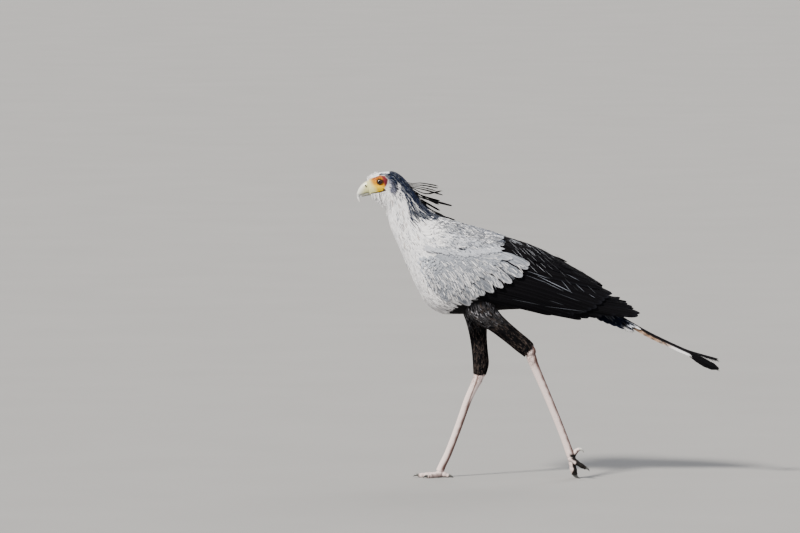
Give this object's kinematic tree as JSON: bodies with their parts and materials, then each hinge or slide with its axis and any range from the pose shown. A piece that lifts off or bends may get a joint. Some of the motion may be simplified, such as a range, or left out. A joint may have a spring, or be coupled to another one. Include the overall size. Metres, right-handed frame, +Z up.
{
  "type": "secretary bird",
  "caption": "Life-size still model of a walking secretary bird with folded wings, crest plumes, long legs and long central tail feathers.",
  "frame": {"origin": "on the floor, under the middle of the bounding box", "axes": "+Z up; the bird faces -X and its tail points along +X; its left side is at -Y"},
  "size_m": [1.0583, 0.2194, 0.8973],
  "materials": {
    "plumage_grey": "pale blue-grey feathers",
    "plumage_white": "soft white to pale grey feathers",
    "plumage_black": "black feathers with a slight sheen",
    "skin": "bare orange and yellow skin, finely wrinkled",
    "bill": "smooth blue-grey horn",
    "eye": "wet, glossy dark brown",
    "leg": "pinkish scaled skin",
    "claw": "black horn"
  },
  "bodies": {
    "root": {"head": "plumage_grey", "bill_upper": "bill", "bill_lower": "bill", "eye_left": "eye", "eye_right": "eye", "neck": "plumage_white", "torso": "plumage_white", "wing_left": "plumage_grey", "wing_right": "plumage_grey", "tail": "plumage_black", "thigh_left": "plumage_black", "thigh_right": "plumage_black", "shank_left": "leg", "shank_right": "leg", "foot_left": "leg", "foot_right": "leg", "claw_left_middle": "claw", "claw_left_inner": "claw", "claw_left_outer": "claw", "claw_left_hind": "claw", "claw_right_middle": "claw", "claw_right_inner": "claw", "claw_right_outer": "claw", "claw_right_hind": "claw"}
  },
  "joints": []
}
